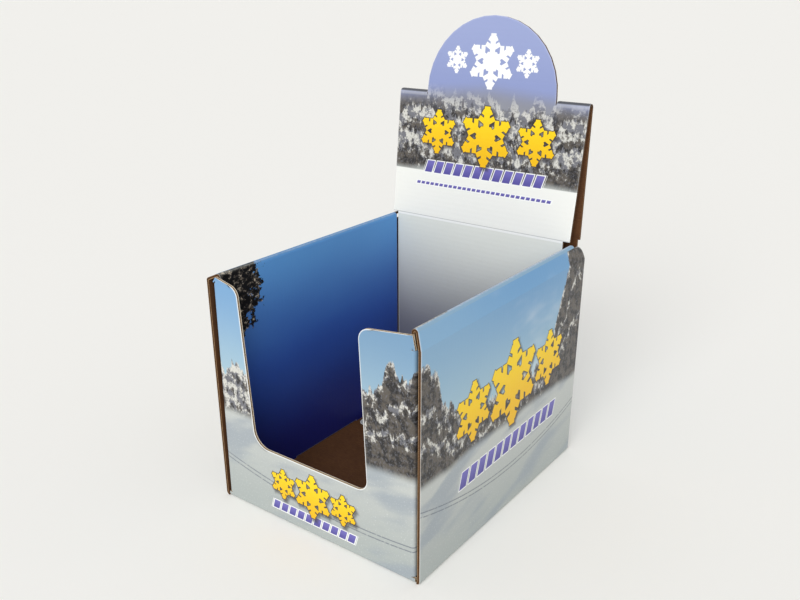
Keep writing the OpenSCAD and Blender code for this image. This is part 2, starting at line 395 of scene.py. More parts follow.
class Board:
    """A piece of the folded sheet, gathered patch by patch, welded and closed along its cut edges."""

    def __init__(self):
        self.patches, self.quads = [], []
        self.size = 0

    def patch(self, surface, cross, crease=0.0, keep=None):
        """Adds a grid. cross is each point's place across the flutes, crease how far its print has cracked,
        and keep the mask of the grid's cells that are there."""
        points, normals = surface
        rows, columns = points.shape[:2]
        index = np.arange(rows * columns).reshape(rows, columns)
        quads = np.stack([index[:-1, :-1], index[:-1, 1:], index[1:, 1:], index[1:, :-1]], -1)
        turned = np.cross(points[:-1, 1:] - points[:-1, :-1], points[1:, :-1] - points[:-1, :-1])
        if np.sum(turned * normals[:-1, :-1]) > 0:
            quads = quads[..., ::-1]
        quads = quads.reshape(-1, 4) if keep is None else quads[keep]
        numbers = (np.broadcast_to(v, (rows, columns)).ravel() for v in (cross, crease))
        self.patches.append((points.reshape(-1, 3), normals.reshape(-1, 3), *numbers))
        self.quads.append(quads + self.size)
        self.size += rows * columns

    def flat(self, panel, x, y, cross=None, keep=None):
        """Adds a grid of a flat panel. Unless cross is given, the flutes run along the panel's crease."""
        self.patch(panel.flat(x, y), y if cross is None else cross, keep=keep)

    def bend(self, panel, x, turn, radius, cross):
        """Adds a bend, with its print cracked along the middle, and returns the panel after it."""
        share = np.linspace(0, 1, BEND_STEPS + 1)
        strength = np.clip((abs(turn) - CRACK_FROM) / CRACK_OVER, 0, 1)
        worn = np.sin(np.pi * share)[None] ** CRACK_POWER * strength
        along = cross if np.ndim(cross) == 0 else cross[:, None]
        self.patch(panel.bend(x, turn, radius), along, worn)
        return panel.fold(turn, radius)

    def weld(self):
        """Joins the patches: points with the same printed and brown places become one point."""
        points, normals, cross, crease = map(np.concatenate, zip(*self.patches))
        brown = points + BOARD * normals
        first, number = welded(np.hstack([points, brown]))
        used, quads = np.unique(number[np.concatenate(self.quads)], return_inverse=True)
        kept = first[used]
        return points[kept], brown[kept], cross[kept], crease[kept], quads.reshape(-1, 4)

    def build(self, name, picture, joins, edges):
        """Makes the piece: the printed face, rounded off along its cuts, the brown face one board away,
        and round every cut two liners, a channel and a fluted sheet. joins lists (axis, value) of the
        creases where the sheet goes on as another piece, and edges holds the materials of the printed
        liner's cut edge and of the flutes."""
        points, brown, cross, crease, quads = self.weld()
        count = len(points)
        across = brown - points
        start, end = quads.ravel(), np.roll(quads, -1, 1).ravel()
        free = ~np.isin(start * count + end, end * count + start)
        a, b = start[free], end[free]
        joined = on_joins(points, a, b, joins)
        mitre = mitres(points, -across / BOARD, a, b)
        mitre[np.concatenate([a[joined], b[joined]])] = 0

        inset = np.full(count, CUT_ROUND)
        cell = np.linalg.norm(points[start[~free]] - points[end[~free]], axis=1)
        np.minimum.at(inset, start[~free], CUT_SHARE * cell)
        printed = points - inset[:, None] * mitre
        rim = np.unique(np.concatenate([a, b]))
        rings = [points[rim] + share * across[rim] - depth * mitre[rim] for share, depth in EDGE_RINGS]
        cut_a, cut_b = a[~joined], b[~joined]
        ribbon, ribbon_quads = flutes(points, across, mitre, cross, cut_a, cut_b)
        vertices = np.concatenate([printed, brown, *rings, ribbon])

        caps = np.stack([b, a, a + count, b + count], 1)[joined]
        groups = [quads, quads[:, ::-1] + count, *cut_walls(count, rim, cut_a, cut_b), caps]
        groups.append(ribbon_quads + len(vertices) - len(ribbon))
        # The channel's floor behind the flutes takes the darker brown-face kraft, partly as painted shade in
        # the hollows between the flutes
        marks = [PRINT, BROWN, PRINT, CUT, FLUTED, BROWN, FLUTED, CUT, BROWN, FLUTED]
        worn, at_rim = np.zeros((2, len(vertices)), np.float32)
        worn[:count] = crease
        at_rim[2 * count:2 * count + len(rim)] = 1
        attributes = {"crease": worn, "rim": at_rim}
        new_piece(name, vertices, groups, marks, attributes, (picture, KRAFT, *edges))


class Value:
    """A value in a node tree. Arithmetic on it adds Math nodes."""

    def __init__(self, tree, socket):
        self.tree = tree
        self.socket = socket

    def __add__(self, other):
        return self.tree.math("ADD", self, other)

    def __sub__(self, other):
        return self.tree.math("SUBTRACT", self, other)

    def __rsub__(self, other):
        return self.tree.math("SUBTRACT", other, self)

    def __mul__(self, other):
        return self.tree.math("MULTIPLY", self, other)

    def __truediv__(self, other):
        return self.tree.math("DIVIDE", self, other)

    def __abs__(self):
        return self.tree.math("ABSOLUTE", self)

    __radd__ = __add__
    __rmul__ = __mul__


def colour(red, green, blue):
    """A colour of the finished picture, 0 to 255, as the linear colour that a shader takes."""
    encoded = np.array([red, green, blue]) / 255
    linear = np.where(encoded <= 0.04045, encoded / 12.92, ((encoded + 0.055) / 1.055) ** 2.4)
    return (*linear.tolist(), 1.0)


class Tree:
    """A node tree. Its methods add nodes and return the value that comes out of them."""

    def __init__(self, nodes):
        self.nodes = nodes

    def node(self, kind, settings=None, inputs=None, output=0):
        """Adds a node: its settings are set first, then its sockets' values or links."""
        node = self.nodes.nodes.new("ShaderNode" + kind)
        for name, value in (settings or {}).items():
            setattr(node, name, value)
        for name, value in (inputs or {}).items():
            if isinstance(value, Value):
                self.link(value, node.inputs[name])
            else:
                node.inputs[name].default_value = value
        return Value(self, node.outputs[output])

    def link(self, value, socket):
        """Feeds a socket from a value."""
        self.nodes.links.new(value.socket, socket)

    def math(self, operation, a, b=0.0):
        """One Math node."""
        return self.node("Math", {"operation": operation}, {0: a, 1: b})

    def least(self, *values):
        """The smallest of the values."""
        return reduce(partial(self.math, "MINIMUM"), values)

    def most(self, *values):
        """The largest of the values."""
        return reduce(partial(self.math, "MAXIMUM"), values)

    def rise(self, value, low, high):
        """0 below low, 1 above high and a smooth step between them."""
        settings = {"interpolation_type": "SMOOTHSTEP"}
        return self.node("MapRange", settings, {"Value": value, "From Min": low, "From Max": high})

    def fall(self, value, low, high):
        """1 below low, 0 above high and a smooth step between them."""
        return 1 - self.rise(value, low, high)

    def mix(self, share, a, b):
        """Colour a where share is 0 and colour b where it is 1."""
        return self.node("Mix", {"data_type": "RGBA"}, {0: share, 6: a, 7: b}, 2)

    @cached_property
    def place(self):
        """The point's x, y and z in millimetres."""
        point = self.node("TexCoord", output=3)
        split = [self.node("SeparateXYZ", None, {0: point}, k) for k in range(3)]
        return [v * (1 / MM) for v in split]

    def noise(self, x, y, z, detail, roughness):
        """Fractal noise, 0 to 1, of a point whose coordinates are already scaled."""
        point = self.node("CombineXYZ", None, {0: x, 1: y, 2: z})
        inputs = {"Vector": point, "Scale": 1.0, "Detail": detail, "Roughness": roughness}
        return self.node("TexNoise", None, inputs)

    def even_noise(self, scale, detail, roughness):
        """Fractal noise, 0 to 1, with one scale along x, y and z."""
        return self.noise(*[v * scale for v in self.place], detail, roughness)

    def attribute(self, name):
        """A number that the mesh holds at each of its points."""
        return self.node("Attribute", {"attribute_name": name}, None, 2)


class Paint(Tree):
    """A material with its node tree and its shader, whose constants are set by name."""

    def __init__(self, name, **constants):
        self.material = bpy.data.materials.new(name)
        self.material.use_nodes = True
        super().__init__(self.material.node_tree)
        self.shader = self.nodes.nodes["Principled BSDF"]
        for socket, value in constants.items():
            self.shader.inputs[socket.replace("_", " ")].default_value = value

    def feed(self, socket, value):
        """Feeds one of the shader's sockets from a value."""
        self.link(value, self.shader.inputs[socket])

    def bump(self, height, distance, strength):
        """Feeds the shader's normal from a height in units of the distance."""
        inputs = {"Height": height, "Distance": distance, "Strength": strength}
        self.feed("Normal", self.node("Bump", None, inputs))


# Colours of the print and of the board, as they look in the picture; a few are painted shade, as marked
WHITE = colour(247, 248, 246)
PALE = colour(239, 240, 235)
WHITE_WARM = colour(236, 239, 231)
SNOW = colour(190, 194, 191)
SNOW_LOW = colour(169, 176, 174)
SNOW_SHADE = colour(148, 158, 168)
# The next colour is both the ski tracks' print and a painted shadow along the crease at the header's foot
TRACK_AND_CREASE_SHADE = colour(112, 118, 128)
SKY_HIGH = colour(118, 162, 204)
SKY_LOW = colour(172, 199, 208)
SKY_GREY = colour(118, 154, 186)
SKY_SIDE = colour(106, 155, 199)
CROWN = colour(138, 171, 197)
ROCK = colour(40, 38, 38)
ROCK_DEEP = colour(18, 17, 17)
ROCK_LIGHT = colour(90, 84, 77)
PEAK_SHADE = colour(116, 117, 124)
PEAK_SNOW = colour(212, 211, 204)
PEAK_WARM = colour(214, 200, 176)
FAR_HILL = colour(160, 172, 186)
YELLOW = colour(252, 216, 18)
YELLOW_DEEP = colour(240, 186, 6)
VIOLET = colour(112, 106, 182)
VIOLET_DEEP = colour(86, 80, 156)
OUTLINE = colour(52, 46, 50)
LAVENDER = colour(152, 163, 205)
LAVENDER_LOW = colour(139, 151, 197)
DUSK_HIGH = colour(128, 130, 140)
DUSK_LOW = colour(172, 175, 180)
FOLD_GREY = colour(124, 124, 130)
MIST = colour(140, 143, 158)
FOLD_DARK = colour(74, 76, 84)
# The next colour is painted shade for the inner back's lower corner
CORNER_PAINTED_SHADE = colour(106, 108, 121)
NAVY = colour(36, 41, 118)
INNER_MID = colour(53, 92, 178)
INNER_TOP = colour(98, 160, 222)
# The next colour is painted shade for the top of the lining's bend
INNER_BEND_PAINTED_SHADE = colour(84, 138, 192)
KRAFT_DARK = colour(82, 51, 31)
KRAFT_LIGHT = colour(106, 71, 43)
KRAFT_CLOUD = colour(76, 49, 30)
KRAFT_FLECK = colour(66, 43, 27)

# Ridges, far to near: share of the way down to the snow, swing of the crest in millimetres, and its pitch
RIDGES = (0.0, 46.0, 0.05), (0.34, 34.0, 0.062), (0.66, 24.0, 0.08)

# Rows of crystals, in millimetres: place of the middle one, and pitch, radius and the outer ones' share of it
FRONT_CENTRE = -1.0, 28.0
FRONT_CRYSTALS = 24.5, 15.2, 0.7
SIDE_CENTRE = 6.0, 90.0
SIDE_CRYSTALS = 47.0, 29.5, 0.67
HEADER_CENTRE = 0.0, 222.0
HEADER_CRYSTALS = 40.0, 21.0, 0.74
DISC_CENTRE = 0.0, 273.0
DISC_CRYSTALS = 28.0, 18.5, 0.5

# Rows of blocks, in millimetres: drop below the crystals' middle, length, height and pitch
FRONT_BLOCKS = 17.0, 69.0, 6.0, 6.9
SIDE_BLOCKS = 42.0, 121.2, 11.0, 10.1
HEADER_BLOCKS = 25.5, 98.4, 8.5, 8.2
HEADER_DASHES = 38.0, 112.0, 2.0, 4.0

# The blocks' slant, half a block's width as a share of the pitch, and how far a crystal's shadow falls
BLOCK_SLANT = 0.3
BLOCK_FILL = 0.37
SHADOW = 1.4, -1.7

# A crystal, in shares of its radius: half an arm's width, the core, each barb's foot and length, and half its
# width, with the cosine and sine of a barb's angle to its arm
ARM_HALF = 0.11
CORE = 0.34
BARBS = (0.46, 0.34), (0.74, 0.2)
BARB_HALF = 0.085
BARB_COS, BARB_SIN = 0.5, 0.866

# Share of the pitch beyond which a row's outer crystals begin
OUTER_FROM = 0.61

# Marks in millimetres: top of the walls' sky, foot of the header, and start of the pale crown over a roll
SKY_TOP = 160.0
FOOT_MARK = HEADER_FOOT / MM
CROWN_MARK = (INNER_HALF + BEND_R) / MM


def ridges(p, picture, u, v, seed, snow_line, crest, bareness):
    """Ridges one in front of the other. Each crest is a height along u, made jagged by a folded noise.
    The light on the slopes is the rise of a noise across them, and rock shows where a stretched noise
    is high, more of it further below the crest and with more bareness."""
    slope = p.noise(u * 0.14, v * 0.11, seed, 6.0, 0.66)
    slope_lit = p.noise(u * 0.14 + 0.32, v * 0.11 + 0.3, seed, 6.0, 0.66)
    light = slope - slope_lit
    snowy = p.mix(p.rise(light, -0.05, 0.04), PEAK_SHADE, PEAK_SNOW)
    stone = p.mix(p.rise(light, -0.08, 0.08), ROCK, ROCK_LIGHT)
    fleck = p.noise(u * 0.75, v * 0.5, seed + 3.0, 4.0, 0.7)
    stone = p.mix(p.rise(fleck, 0.5, 0.64) * 0.6, stone, PEAK_SHADE)
    snowy = p.mix(p.fall(fleck, 0.36, 0.5) * 0.6, snowy, ROCK_LIGHT)
    rock = p.noise(u * 0.22 + v * 0.07, v * 0.16 - u * 0.06, seed + 5.0, 5.0, 0.72)
    for drop, swing, pitch in RIDGES:
        jag = p.noise(u * pitch, seed + 30 * drop, 0.0, 5.0, 0.6)
        top = crest - (crest - snow_line) * drop + swing * (0.5 - abs(jag - 0.5) * 2.2)
        depth = top - v
        bare = rock + bareness + 0.34 * p.rise(depth, -2.0, 20.0)
        face = p.mix(p.rise(bare, 0.6, 0.7), snowy, stone)
        picture = p.mix(p.rise(depth, 0.0, 0.8), picture, face)
    return picture


def winter_scene(p, u, v, seed, snow_line, crest, sky_top, sky_colours, bareness):
    """Snow, ridges and sky at the place u across and v up, in millimetres. The snow line is noise along u."""
    far = snow_line + 8 + 20 * p.noise(u * 0.03, seed + 3.0, 0.0, 3.0, 0.5)
    near = snow_line + 13 * (p.noise(u * 0.018, seed + 7.0, 0.0, 2.0, 0.45) - 0.5)

    sky = p.mix(p.rise(v, snow_line, sky_top), *sky_colours)
    haze = p.noise(u * 0.012, v * 0.03, seed + 11.0, 3.0, 0.55)
    sky = p.mix(p.rise(haze, 0.52, 0.75) * 0.3, sky, WHITE)

    drift = p.noise(u * 0.013 + v * 0.012, v * 0.05 - u * 0.012, seed + 2.0, 3.0, 0.45)
    snow = p.mix(p.rise(v, 0.0, snow_line), SNOW_LOW, SNOW)
    snow = p.mix(p.rise(drift, 0.48, 0.66) * 0.7, snow, SNOW_SHADE)
    sparkle = p.noise(u * 0.9, v * 0.9, seed, 2.0, 0.6)
    snow = p.mix(p.rise(sparkle, 0.55, 0.8) * 0.3, snow, WHITE)

    picture = p.mix(p.rise(far - v, 0.0, 1.2), sky, FAR_HILL)
    picture = ridges(p, picture, u, v, seed, snow_line, crest, bareness)
    return p.mix(p.rise(near - v, -2.0, 5.0), picture, snow)


def tracks(p, picture, u, v, centre, height, sag):
    """Two thin lines across the snow, each a parabola that sags by sag in 100 millimetres."""
    bow = (u - centre) * 0.01
    line = v - height - sag * bow * bow
    pair = abs(abs(line) - 1.5)
    grain = p.noise(u * 0.5, v * 0.5, 3.0, 2.0, 0.5)
    return p.mix(p.fall(pair, 0.25, 0.6) * p.rise(grain, 0.25, 0.5) * 0.8, picture, TRACK_AND_CREASE_SHADE)


def crystal(p, x, y, radius):
    """How far a point lies outside a six-armed snow crystal, in shares of its radius.
    The plane is folded into one twelfth of a turn, where an arm and two barbs are bars."""
    angle = p.math("PINGPONG", p.math("ARCTAN2", x, y), math.pi / 6)
    reach = p.math("SQRT", x * x + y * y) / radius
    a = reach * p.math("COSINE", angle)
    b = reach * p.math("SINE", angle)
    shapes = [p.most(b - ARM_HALF, a - 1.0), a - CORE]
    for foot, length in BARBS:
        along = (a - foot) * BARB_COS + b * BARB_SIN
        off = abs((a - foot) * BARB_SIN - b * BARB_COS)
        shapes.append(p.most(off - BARB_HALF, along - length, 0 - along))
    return p.least(*shapes)


def crystal_row(p, x, y, pitch, radius, outer):
    """A large crystal with a smaller one on each side of it; the distance is in millimetres."""
    cell = p.math("SIGN", x) * p.math("GREATER_THAN", abs(x), pitch * OUTER_FROM)
    size = radius * (1 - (1 - outer) * abs(cell))
    return crystal(p, x - cell * pitch, y, size) * size


def violet_blocks(p, picture, x, y, drop, length, height, pitch):
    """A row of slanted violet blocks with a white rim, that far below the origin."""
    up = y + drop
    slant = x - up * BLOCK_SLANT
    cell = abs(p.math("FRACT", slant / pitch) - 0.5) * pitch
    box = p.most(abs(up) - height / 2, abs(slant) - length / 2, cell - pitch * BLOCK_FILL)
    picture = p.mix(p.fall(box, 0.4, 0.9), picture, WHITE)
    violet = p.mix(p.rise(up, -height / 2, height / 2), VIOLET_DEEP, VIOLET)
    return p.mix(p.fall(box, -0.15, 0.15), picture, violet)


def emblem(p, picture, x, y, pitch, radius, outer):
    """Yellow crystals with a dark outline and a soft shadow."""
    shadow = crystal_row(p, x - SHADOW[0], y - SHADOW[1], pitch, radius, outer)
    shape = crystal_row(p, x, y, pitch, radius, outer)
    picture = p.mix(p.fall(shadow, -0.8, 2.2) * 0.75, picture, OUTLINE)
    picture = p.mix(p.fall(shape, 0.35, 0.65), picture, OUTLINE)
    yellow = p.mix(p.rise(y, -radius, radius), YELLOW_DEEP, YELLOW)
    return p.mix(p.fall(shape, -0.15, 0.15), picture, yellow)


def decorate(p, picture, u, v, centre, crystals, *rows):
    """Rows of blocks about the centre, and the crystals over them."""
    x, y = u - centre[0], v - centre[1]
    for row in rows:
        picture = violet_blocks(p, picture, x, y, *row)
    return emblem(p, picture, x, y, *crystals)


def varnished(name):
    """A printed and varnished paper; its picture is set by finish_print."""
    return Paint(name, Coat_Weight=0.08, Coat_Roughness=0.3, Specular_IOR_Level=0.3)


def finish_print(p, picture, across, rim=0.25, cracks=0.8):
    """Adds what all printed faces share: cracked creases, paper grain, gloss and faint flute lines.
    rim is how white the print is where it is rounded off along a cut, and cracks how white its folds are."""
    crack = p.even_noise(0.5, 5.0, 0.65)
    worn = p.attribute("crease") * (0.3 + 0.7 * p.rise(crack, 0.3, 0.7))
    picture = p.mix(worn * cracks, picture, PALE)
    picture = p.mix(p.rise(p.attribute("rim"), 0.1, 0.9) * rim, picture, WHITE)
    p.feed("Base Color", picture)
    patch = p.even_noise(0.05, 4.0, 0.6)
    p.feed("Roughness", 0.34 + 0.14 * patch + 0.2 * worn)
    flute = p.math("SINE", across * (2 * math.pi * MM / FLUTE_PITCH))
    grain = p.even_noise(2.2, 2.0, 0.5)
    p.bump(flute * 0.3 + grain * 0.5 + patch * 6.0, 0.05 * MM, 0.6)
    return p.material


def front_print():
    """Front panel: ridges that are snowier on the left and higher on the right, under a greyer sky there."""
    p = varnished("front_print")
    x, _, z = p.place
    crest = 76.0 + 40 * p.rise(x, 20.0, 66.0) + 8 * p.fall(x, -75.0, -40.0)
    sky = p.mix(p.rise(x, -40.0, 50.0), SKY_HIGH, SKY_GREY)
    bareness = 0.1 - 0.14 * p.fall(x, -60.0, -30.0)
    picture = winter_scene(
        p, x, z, seed=4.0, snow_line=69.0, crest=crest, sky_top=SKY_TOP,
        sky_colours=(SKY_LOW, sky), bareness=bareness)
    picture = tracks(p, picture, x, z, centre=30.0, height=20.0, sag=12.0)
    picture = decorate(p, picture, x, z, FRONT_CENTRE, FRONT_CRYSTALS, FRONT_BLOCKS)
    cut_out = p.fall(abs(x), 71.0, 72.0)
    return finish_print(p, picture, z, rim=0.85 * cut_out)


def side_print():
    """Side walls: ridges that rise at both ends, most at the rear, and a sky that pales to the front."""
    p = varnished("side_print")
    _, y, z = p.place
    crest = 70.0 + 46 * p.fall(y, -90.0, -50.0) + 94 * p.rise(y, 44.0, 98.0)
    sky = p.mix(p.fall(y, -100.0, 30.0) * 0.3, SKY_SIDE, SKY_LOW)
    picture = winter_scene(
        p, y, z, seed=9.0, snow_line=66.0, crest=crest, sky_top=SKY_TOP,
        sky_colours=(SKY_LOW, sky), bareness=0.09)
    picture = tracks(p, picture, y, z, centre=10.0, height=30.0, sag=16.0)
    picture = decorate(p, picture, y, z, SIDE_CENTRE, SIDE_CRYSTALS, SIDE_BLOCKS)
    return finish_print(p, picture, y, rim=0.4)


def lining_print():
    """Inside of the side walls: blue that deepens towards the floor, painted shade over the top of the bend,
    a pale crown over the roll, and a dark ragged slope in the front upper corner."""
    p = Paint("lining_print", Specular_IOR_Level=0.15)
    x, y, z = p.place
    wash = p.noise(y * 0.01, z * 0.014, 2.0, 3.0, 0.5)
    height = z + (wash - 0.5) * 26
    blue = p.mix(p.rise(height, 10.0, 106.0), NAVY, INNER_MID)
    blue = p.mix(p.rise(height, 78.0, 166.0), blue, INNER_TOP)
    # Painted shade: a deeper blue over the top of the bend, which faces up and catches more light
    blue = p.mix(p.rise(z, 155.8, 157.4), blue, INNER_BEND_PAINTED_SHADE)
    over = p.rise(abs(x), CROWN_MARK - 0.3, CROWN_MARK + 0.5)
    picture = p.mix(over, blue, CROWN)
    ragged = p.noise(y * 0.08, z * 0.1, 6.0, 6.0, 0.7)
    edge = 38 * p.rise(z, 82.0, 136.0) + 66 * (ragged - 0.5) - y - 98
    fleck = p.noise(y * 0.2 + z * 0.11, z * 0.24 - y * 0.1, 31.0, 6.0, 0.78)
    slope = p.mix(p.rise(fleck, 0.5, 0.58), ROCK_DEEP, ROCK_LIGHT)
    slope = p.mix(p.rise(fleck, 0.57, 0.63), slope, PEAK_WARM)
    picture = p.mix(p.rise(edge, 0.0, 0.8) * (1 - over), picture, slope)
    return finish_print(p, picture, y)


def header_print():
    """Header: snowy ridges under a lavender disc, grey shoulders along the fold, a pale band below,
    and a painted shadow line along the crease at its foot.
    """
    p = varnished("header_print")
    x, _, z = p.place
    crest = 231.0 + 10 * p.fall(x, -64.0, -24.0) + 8 * p.rise(x, 34.0, 72.0)
    picture = winter_scene(
        p, x, z, seed=14.0, snow_line=196.0, crest=crest, sky_top=262.0,
        sky_colours=(DUSK_LOW, DUSK_HIGH), bareness=-0.07)
    shoulder = p.rise(abs(x), 52.0, 52.4)
    disc = p.mix(p.rise(z, 246.0, 300.0), LAVENDER_LOW, LAVENDER)
    mist = p.mix(shoulder, MIST, FOLD_GREY)
    disc = p.mix(p.rise(z + 0.1 * abs(x), 246.0, 262.0), mist, disc)
    picture = p.mix(p.rise(z, 234.0, 258.0 - 6 * shoulder), picture, disc)
    picture = p.mix(shoulder * p.rise(z, 246.2, 247.6) * 0.2, picture, PALE)
    picture = p.mix(shoulder * p.rise(z, 248.6, 249.6), picture, FOLD_DARK)
    picture = p.mix(p.fall(z, 192.6, 193.4), picture, PALE)
    picture = decorate(p, picture, x, z, HEADER_CENTRE, HEADER_CRYSTALS, HEADER_BLOCKS, HEADER_DASHES)
    # Painted shadow: a thin dark line along the crease at the header's foot
    foot = p.fall(z, FOOT_MARK + 0.3, FOOT_MARK + 0.9)
    picture = p.mix(foot * 0.45, picture, TRACK_AND_CREASE_SHADE)
    mark = crystal_row(p, x - DISC_CENTRE[0], z - DISC_CENTRE[1], *DISC_CRYSTALS)
    picture = p.mix(p.fall(mark, -0.15, 0.15), picture, WHITE)
    return finish_print(p, picture, z, rim=0.15, cracks=0.0)


def inner_back_print():
    """Inside of the back: white that turns grey towards the floor and the left as painted shade in the box's
    corner, a painted highlight line at its head, and the tongue in the snow's colour."""
    p = varnished("inner_back_print")
    x, y, z = p.place
    tint = p.even_noise(0.012, 3.0, 0.5)
    grey = p.mix(tint * 0.3, WHITE_WARM, SNOW)
    # Painted shade: grey that grows towards the floor and to the left, where the box's corner lies in shade
    low = p.fall(z + 0.06 * x + 12 * (tint - 0.5), 50.0, 164.0)
    grey = p.mix(low, grey, CORNER_PAINTED_SHADE)
    grey = p.mix(p.fall(y, 82.0, 85.0), grey, SNOW)
    # Painted highlight: a white line along the crease at the inner back's head
    head = p.rise(z, FOOT_MARK - 1.7, FOOT_MARK - 1.3)
    return finish_print(p, p.mix(head * 0.8, grey, WHITE), z, rim=0.5)


def outer_plain_print():
    """Back and underside: a plain wash of the snow's and the sky's colours."""
    p = varnished("back_print")
    x, _, z = p.place
    wash = p.noise(x * 0.012, z * 0.02, 3.0, 3.0, 0.5)
    height = z + (wash - 0.5) * 24
    blank = p.mix(p.rise(height, 30.0, 110.0), SNOW_LOW, SKY_LOW)
    blank = p.mix(p.rise(height, 90.0, 220.0), blank, SKY_HIGH)
    return finish_print(p, blank, z)


def kraft_paper():
    """Brown liner: fibres, flecks and clouds."""
    p = Paint("kraft_paper", Specular_IOR_Level=0.2)
    x, y, z = p.place
    fibre = p.noise(x * 0.35, y * 2.6, z * 2.6, 5.0, 0.65)
    cloud = p.even_noise(0.06, 4.0, 0.6)
    brown = p.mix(p.rise(fibre, 0.3, 0.7), KRAFT_DARK, KRAFT_LIGHT)
    brown = p.mix(p.rise(cloud, 0.4, 0.7) * 0.4, brown, KRAFT_CLOUD)
    fleck = p.even_noise(1.6, 2.0, 0.4)
    brown = p.mix(p.rise(fleck, 0.68, 0.75) * 0.5, brown, KRAFT_FLECK)
    p.feed("Base Color", brown)
    p.feed("Roughness", 0.8 + 0.15 * fibre)
    p.bump(fibre, 0.06 * MM, 0.7)
    return p.material


def raw_edge(name, dark, light):
    """Cut edge of the board, with fibres."""
    p = Paint(name, Specular_IOR_Level=0.2)
    fibre = p.even_noise(1.6, 5.0, 0.7)
    p.feed("Base Color", p.mix(p.rise(fibre, 0.3, 0.7), colour(*dark), colour(*light)))
    p.feed("Roughness", 0.8 + 0.15 * fibre)
    return p.material


KRAFT = kraft_paper()
# The same board's cut edge in three tones, as lit and shaded copies: paler on the front panel, where the cuts
# face the light, as painted light; darker brown on the other pieces and darkest on the header's cut edge, as
# painted shade
PAINTED_LIGHT_EDGES = (
    raw_edge("painted_light_cut", (222, 208, 182), (246, 240, 226)),
    raw_edge("painted_light_flutes", (146, 122, 92), (198, 172, 136)),
)
PAINTED_SHADE_EDGES = (
    raw_edge("painted_shade_cut", (132, 101, 70), (180, 147, 110)),
    raw_edge("painted_shade_flutes", (68, 46, 29), (106, 76, 49)),
)
HEADER_PAINTED_SHADE_EDGES = (
    raw_edge("header_painted_shade_cut", (84, 68, 56), (122, 100, 80)),
    PAINTED_SHADE_EDGES[1],
)
FRONT_PRINT = front_print()
SIDE_PRINT = side_print()
LINING_PRINT = lining_print()
HEADER_PRINT = header_print()
INNER_BACK_PRINT = inner_back_print()
BACK_PRINT = outer_plain_print()


def flap(board, panel, side, heights):
    """Corner flap: a bend at the panel's side, then a tapered panel whose free corners are rounded.
    Its half height falls in a straight line, less the rounding near the free end."""
    hinge = Panel(panel.origin + side * PANEL_HALF * X, panel.away, side * X, panel.brown)
    leaf = board.bend(hinge, heights, math.pi / 2, CREASE_R, heights)
    length, inset = rounded_end(FLAP_LEN, FLAP_R, FLAP_ROWS)
    middle, half = (heights[0] + heights[-1]) / 2, (heights[-1] - heights[0]) / 2
    scale = 1 - (FLAP_TAPER * length / FLAP_LEN + inset) / half
    up = middle + (heights[:, None] - middle) * scale[None]
    board.flat(leaf, up, np.broadcast_to(length, up.shape), up)


def upright(side, top_w, foot_w, top_y, slope, foot_r, roll):
    """Ruled grids of an upright, from its crease line to the line of the cut-out, and of its shoulder,
    and the heights of its flap. The cut-out's line is the foot's rounding, a straight edge and the
    top's rounding."""
    score = score_height(*roll)
    reach = shoulder_reach(*roll, top_y)
    inner = PANEL_HALF - top_w
    corner_top = (side * inner, top_y - top_w * math.tan(slope))
    foot_x = side * (PANEL_HALF - foot_w)
    foot = rounding((0, LIP), (foot_x, LIP), corner_top, foot_r)
    head = rounding((foot_x, LIP), corner_top, (side * reach, top_y), UPRIGHT_R)
    cut = np.concatenate([foot, straight(foot[-1], head[0]), head])
    mark = len(cut) - len(head)
    crease_top = top_y - top_w * math.tan(slope) * (reach - PANEL_HALF) / (reach - inner)
    stops = [LIP, score - EDGE_GAP, score, crease_top]
    rows = np.interp(np.arange(len(cut)), [0, mark, mark + 1, len(cut) - 1], stops)
    crease = np.stack([np.full(len(cut), side * PANEL_HALF), rows], 1)
    steps = run(0, abs(foot[0][0] - side * PANEL_HALF))
    high = crease[mark + 1:]
    share = shares(rows[mark + 1:])
    out_x = PANEL_HALF + BEND_R + (reach - PANEL_HALF - BEND_R) * share
    outer = np.stack([side * out_x, score + (top_y - score) * share], 1)
    return between(crease, cut, shares(steps)), between(high, outer, [0, 1]), rows[: mark + 1]


def footed(board, start, x, turn):
    """Bottom bend of the front or the back, and the ends of the panel's lower edge that run on past its
    side creases. Returns the panel."""
    panel = board.bend(start, np.concatenate([[-FOOT_HALF], x, [FOOT_HALF]]), turn, CREASE_R, 0.0)
    for side in (-1, 1):
        board.flat(panel, *grid(side * np.array([PANEL_HALF, FOOT_HALF]), np.array([0, FOOT_H])))
    return panel


def front_panel():
    """Bottom bend, lip, two uprights and two flaps."""
    board = Board()
    start = Panel((0, -BASE_DEEP, 0), X, -Y, Z)
    left = upright(-1, LEFT_TOP_W, LEFT_FOOT_W, LEFT_TOP, LEFT_SLOPE, LEFT_FOOT_R, LEFT_ROLL)
    right = upright(1, RIGHT_TOP_W, RIGHT_FOOT_W, RIGHT_TOP, RIGHT_SLOPE, RIGHT_FOOT_R, RIGHT_ROLL)
    left_x, right_x = left[0][0][0], right[0][0][0][::-1]
    x = np.concatenate([left_x, run(left_x[-1], right_x[0])[1:-1], right_x])
    y = run(0, LIP, FOOT_H, FLAP_LOW)
    panel = footed(board, start, x, math.pi / 2)
    board.flat(panel, *grid(x, y))
    for side, (body, shoulder, rows) in ((-1, left), (1, right)):
        board.flat(panel, *body)
        board.flat(panel, *shoulder)
        flap(board, panel, side, np.concatenate([y[y > FLAP_LOW - WELD], rows[1:]]))
    board.build("front_panel", FRONT_PRINT, [(1, -BASE_DEEP)], PAINTED_LIGHT_EDGES)


